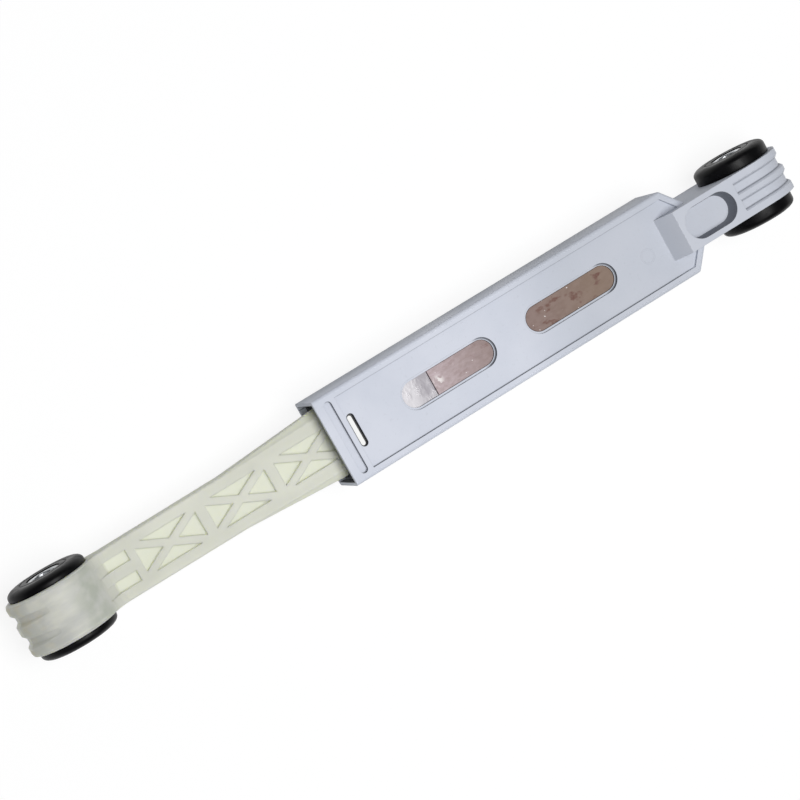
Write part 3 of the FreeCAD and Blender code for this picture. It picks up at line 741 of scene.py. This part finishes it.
# Bright metal with fine lines along the tube and dulled patches.
@dataclass(frozen=True)
class ZincPlatedSteel(Finish):
    """Zinc-plated drawn tube."""

    name: str = "zinc_plated_steel"
    colour: str = "#DCDEE0"
    coats: tuple[Coat, ...] = (Coat("#9EA1A3", (DULL_PATCHES,)),)
    gloss: Gloss = Gloss(bare=0.20, full=0.36, patterns=(DULL_PATCHES,))
    reliefs: tuple[Relief, ...] = (Relief(height=0.01, strength=0.4, patterns=(DRAWN_LINES,)),)
    constants: tuple[tuple[str, Any], ...] = (("Metallic", 1.0),)


CASE_FINISH = MouldedPolypropylene()
ROD_FINISH = MouldedPolyamide()
GUIDE_FINISH = GreasedAcetal()
LINING_FINISH = FrictionFelt()
RUBBER_FINISH = MouldedRubber()
STEEL_FINISH = ZincPlatedSteel()


def dress(obj: bpy.types.Object, finish: Finish) -> None:
    """Give an object one finish.

    Args:
        obj: CAD node or modelled piece.
        finish: finish to build and assign.
    """
    made = bpy.data.materials.get(finish.name) or finish.material()
    obj.data.materials.clear()
    obj.data.materials.append(made)
    LOG.info("dressed %s with %s", obj.name, finish.name)


@dataclass
class Case:
    """Moulded housing with its friction pack."""

    shell: str = "housing"
    linings: tuple[str, str] = ("front_lining", "rear_lining")
    guides: tuple[str, str] = ("front_guide", "rear_guide")

    def dress(self) -> None:
        """Finish the moulding, the linings and the guide plates."""
        dress(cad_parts[self.shell], CASE_FINISH)
        for name in self.linings:
            dress(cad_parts[name], LINING_FINISH)
        for name in self.guides:
            dress(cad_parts[name], GUIDE_FINISH)


@dataclass
class Rod:
    """Braced piston rod."""

    moulding: str = "piston_rod"

    def dress(self) -> None:
        """Finish the moulding."""
        dress(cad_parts[self.moulding], ROD_FINISH)


def turned(name: str, centre: float, profile: Sequence[Ring]) -> bpy.types.Object:
    """Turn a closed profile about an axis along Y, ring by ring.

    Args:
        name: name of the new piece.
        centre: place of the axis on X, in metres.
        profile: radius and place on Y of each ring, in millimetres; the last ring is closed to the first.

    Returns:
        The new piece, at the origin.
    """
    bpy.ops.object.select_all(action="DESELECT")
    radius, place = profile[0]
    bpy.ops.mesh.primitive_circle_add(
        vertices=TURNED_SEGMENTS,
        radius=radius * MM,
        location=(centre, place * MM, 0.0),
        rotation=(math.pi / 2, 0, 0),
    )
    piece = bpy.context.object
    piece.name = name
    bpy.ops.object.transform_apply(location=True, rotation=True, scale=True)
    bpy.ops.object.mode_set(mode="EDIT")
    bpy.ops.mesh.select_all(action="SELECT")
    for next_radius, next_place in profile[1:]:
        step = (0.0, (next_place - place) * MM, 0.0)
        bpy.ops.mesh.extrude_region_move(TRANSFORM_OT_translate={"value": step})
        ratio = next_radius / radius
        bpy.ops.transform.resize(value=(ratio, 1.0, ratio), center_override=(centre, next_place * MM, 0.0))
        radius, place = next_radius, next_place
    bpy.ops.mesh.select_mode(type="EDGE")
    bpy.ops.mesh.select_all(action="DESELECT")
    bpy.ops.mesh.select_non_manifold()
    bpy.ops.mesh.bridge_edge_loops()
    bpy.ops.mesh.select_all(action="SELECT")
    bpy.ops.mesh.remove_doubles(threshold=MERGE_GAP * MM)
    bpy.ops.mesh.normals_make_consistent(inside=False)
    bpy.ops.object.mode_set(mode="OBJECT")
    return piece


def soften(piece: bpy.types.Object, width_mm: float) -> None:
    """Round a piece's sharp edges and shade it smoothly.

    Args:
        piece: modelled piece.
        width_mm: width of the rounding in millimetres.
    """
    bevel = piece.modifiers.new("rounding", "BEVEL")
    bevel.width = width_mm * MM
    bevel.segments = ROUNDING_SEGMENTS
    bevel.limit_method = "ANGLE"
    bevel.angle_limit = SHARP_ANGLE
    bpy.ops.object.modifier_apply(modifier=bevel.name)
    bpy.ops.object.shade_smooth_by_angle(angle=SHARP_ANGLE)


@dataclass
class BushedEye:
    """Rubber bush and steel sleeve of one eye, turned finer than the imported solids."""

    bush: str
    sleeve: str
    bush_body: Body
    sleeve_body: Body
    eye_width: float
    core_radius: float = 9.95
    nose_radius: float = 9.8
    dome_rise: float = 2.0
    dome_steps: int = 7
    lip_radius: float = 7.6
    lip_width: float = 0.5
    lip_sink: float = 0.3
    rubber_round: float = 0.25
    bolt_radius: float = 4.1
    sleeve_bevel: float = 0.4
    bore_bevel: float = 0.3
    steel_round: float = 0.08

    def build(self) -> None:
        """Turn the bush and the sleeve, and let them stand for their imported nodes."""
        low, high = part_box(self.bush)
        centre = (low.x + high.x) / 2
        sleeve_low, sleeve_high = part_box(self.sleeve)
        sleeve_radius = (sleeve_high.z - sleeve_low.z) / 2 / MM
        bush_profile = self.bush_profile(high.y / MM, (high.z - low.z) / 2 / MM, sleeve_radius)
        bush = turned(f"{self.bush}_rubber", centre, bush_profile)
        soften(bush, self.rubber_round)
        self.settle(bush, self.bush, self.bush_body, RUBBER_FINISH)
        sleeve_profile = self.sleeve_profile(sleeve_high.y / MM, sleeve_radius)
        sleeve = turned(f"{self.sleeve}_tube", centre, sleeve_profile)
        soften(sleeve, self.steel_round)
        self.settle(sleeve, self.sleeve, self.sleeve_body, STEEL_FINISH)

    def bush_profile(self, end: float, rim: float, bore: float) -> list[Ring]:
        """Outline of the rubber from one end of its bore to the other.

        Args:
            end: half of the bush's length.
            rim: radius of the flanges.
            bore: radius of the steel sleeve inside.

        Returns:
            Radius and place of each ring, in millimetres.
        """
        inside = bore + RUNNING_GAP
        shoulder = end - self.dome_rise
        half = [(self.core_radius, self.eye_width / 2), (rim, self.eye_width / 2)]
        for step in range(self.dome_steps):
            angle = math.pi / 2 * step / (self.dome_steps - 1)
            radius = self.nose_radius + (rim - self.nose_radius) * math.cos(angle)
            half.append((radius, shoulder + self.dome_rise * math.sin(angle)))
        half += [
            (self.lip_radius + self.lip_width, end),
            (self.lip_radius + self.lip_width, end - self.lip_sink),
            (self.lip_radius, end - self.lip_sink),
            (self.lip_radius, end),
            (inside, end),
        ]
        return [(radius, -place) for radius, place in reversed(half)] + half

    def sleeve_profile(self, end: float, skin: float) -> list[Ring]:
        """Outline of the steel tube from one end of its bore to the other.

        Args:
            end: half of the sleeve's length.
            skin: outer radius of the sleeve.

        Returns:
            Radius and place of each ring, in millimetres.
        """
        half = [
            (skin, end - self.sleeve_bevel),
            (skin - self.sleeve_bevel, end),
            (self.bolt_radius + self.bore_bevel, end),
            (self.bolt_radius, end - self.bore_bevel),
        ]
        return [(radius, -place) for radius, place in reversed(half)] + half

    def settle(self, piece: bpy.types.Object, node: str, body: Body, finish: Finish) -> None:
        """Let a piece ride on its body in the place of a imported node, and finish it.

        Args:
            piece: modelled piece.
            node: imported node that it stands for.
            body: rigid body that carries it.
            finish: finish to assign.
        """
        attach(piece, body.value)
        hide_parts(node)
        dress(piece, finish)


@dataclass
class Lamp:
    """Soft area lamp that looks at the strut."""

    name: str
    place: tuple[float, float, float]
    size: float
    watts: float

    def build(self, target: Vector) -> None:
        """Add the lamp.

        Args:
            target: point that it faces.
        """
        data = bpy.data.lights.new(self.name, "AREA")
        data.shape = "DISK"
        data.size = self.size
        data.energy = self.watts
        lamp = bpy.data.objects.new(self.name, data)
        lamp.location = self.place
        lamp.rotation_euler = (target - Vector(self.place)).to_track_quat("-Z", "Y").to_euler()
        bpy.context.scene.collection.objects.link(lamp)


@dataclass
class Studio:
    """Pale floor, soft light and the camera."""

    target: tuple[float, float, float] = (0.125, 0.0, 0.0)
    azimuth: float = 65.32
    elevation: float = 71.47
    roll: float = 84.24
    distance: float = 0.7492
    focal_px: float = 2391.4
    shift_px: tuple[float, float] = (33.1, -21.2)
    image_px: float = 800.0
    sensor_mm: float = 36.0
    near_clip: float = 0.01
    floor_half: float = 3.0
    floor_colour: str = "#F2F2F2"
    floor_glow: float = 1.04
    shadow_share: float = 0.16
    white: str = "#FFFFFF"
    room_colour: str = "#F4F6FA"
    room_strength: float = 0.2
    key: Lamp = field(default_factory=lambda: Lamp("key", (0.08, 0.06, 1.0), size=0.6, watts=8.1))

    def build(self) -> None:
        """Build the floor, the light and the camera."""
        self.build_floor()
        self.build_light()
        self.build_camera()

    def build_floor(self) -> None:
        """Lay a white floor under the eyes that keeps a pale shadow."""
        bpy.ops.object.select_all(action="DESELECT")
        level = CAD_BOX[0].z
        middle = (self.target[0], self.target[1], level)
        bpy.ops.mesh.primitive_plane_add(size=2 * self.floor_half, location=middle)
        floor = bpy.context.object
        floor.name = "floor"
        made = bpy.data.materials.new("white_paper_floor")
        made.use_nodes = True
        tree = made.node_tree
        tree.nodes.clear()
        paper = add_node(tree, "BsdfDiffuse", inputs={"Color": linear(self.floor_colour)})
        glow = {"Color": linear(self.white), "Strength": self.floor_glow}
        white = add_node(tree, "Emission", inputs=glow)
        path = add_node(tree, "LightPath")
        seen = add_node(
            tree, "Math", {"operation": "MAXIMUM"},
            {0: path.outputs["Is Camera Ray"], 1: path.outputs["Is Glossy Ray"]},
        )
        factors = {0: seen.outputs[0], 1: 1 - self.shadow_share}
        share = add_node(tree, "Math", {"operation": "MULTIPLY"}, factors)
        layers = {0: share.outputs[0], 1: paper.outputs[0], 2: white.outputs[0]}
        both = add_node(tree, "MixShader", inputs=layers)
        add_node(tree, "OutputMaterial", inputs={"Surface": both.outputs[0]})
        floor.data.materials.append(made)

    def build_light(self) -> None:
        """Light the strut softly from above, with a dim white room around it."""
        self.key.build(Vector(self.target))
        world = bpy.data.worlds.new("white_room")
        world.use_nodes = True
        tree = world.node_tree
        tree.nodes.clear()
        path = add_node(tree, "LightPath")
        seen = add_node(
            tree, "Math", {"operation": "MAXIMUM"},
            {0: path.outputs["Is Camera Ray"], 1: path.outputs["Is Transmission Ray"]},
        )
        dim = {"Color": linear(self.room_colour), "Strength": self.room_strength}
        room = add_node(tree, "Background", inputs=dim)
        white = add_node(tree, "Background", inputs={"Color": linear(self.white), "Strength": 1.0})
        layers = {0: seen.outputs[0], 1: room.outputs[0], 2: white.outputs[0]}
        both = add_node(tree, "MixShader", inputs=layers)
        add_node(tree, "OutputWorld", inputs={"Surface": both.outputs[0]})
        bpy.context.scene.world = world

    def build_camera(self) -> None:
        """Stand the camera at the photograph's angle."""
        turn = math.radians(self.azimuth)
        lift = math.radians(self.elevation)
        level = math.cos(lift)
        back = Vector((math.sin(turn) * level, -math.cos(turn) * level, math.sin(lift)))
        right = Vector((math.cos(turn), math.sin(turn), 0.0))
        up = back.cross(right)
        roll = math.radians(self.roll)
        rolled_right = right * math.cos(roll) + up * math.sin(roll)
        rolled_up = up * math.cos(roll) - right * math.sin(roll)
        data = bpy.data.cameras.new("camera")
        data.sensor_width = self.sensor_mm
        data.lens = self.focal_px / self.image_px * self.sensor_mm
        data.shift_x = -self.shift_px[0] / self.image_px
        data.shift_y = self.shift_px[1] / self.image_px
        data.clip_start = self.near_clip
        camera = bpy.data.objects.new("camera", data)
        axes = Matrix((rolled_right, rolled_up, back)).transposed().to_4x4()
        camera.matrix_world = Matrix.Translation(Vector(self.target) + back * self.distance) @ axes
        bpy.context.scene.collection.objects.link(camera)
        bpy.context.scene.camera = camera


def main() -> None:
    """Build and dress the strut, then its studio."""
    logging.basicConfig(level=logging.INFO, format="%(name)s: %(message)s")
    bpy.context.scene.view_settings.view_transform = "Standard"
    Case().dress()
    Rod().dress()
    BushedEye("housing_bush", "housing_sleeve", Body.HOUSING, Body.HOUSING_SLEEVE, eye_width=14.6).build()
    BushedEye("rod_bush", "rod_sleeve", Body.ROD, Body.ROD_SLEEVE, eye_width=17.6).build()
    Studio().build()


if __name__ == "__main__":
    main()
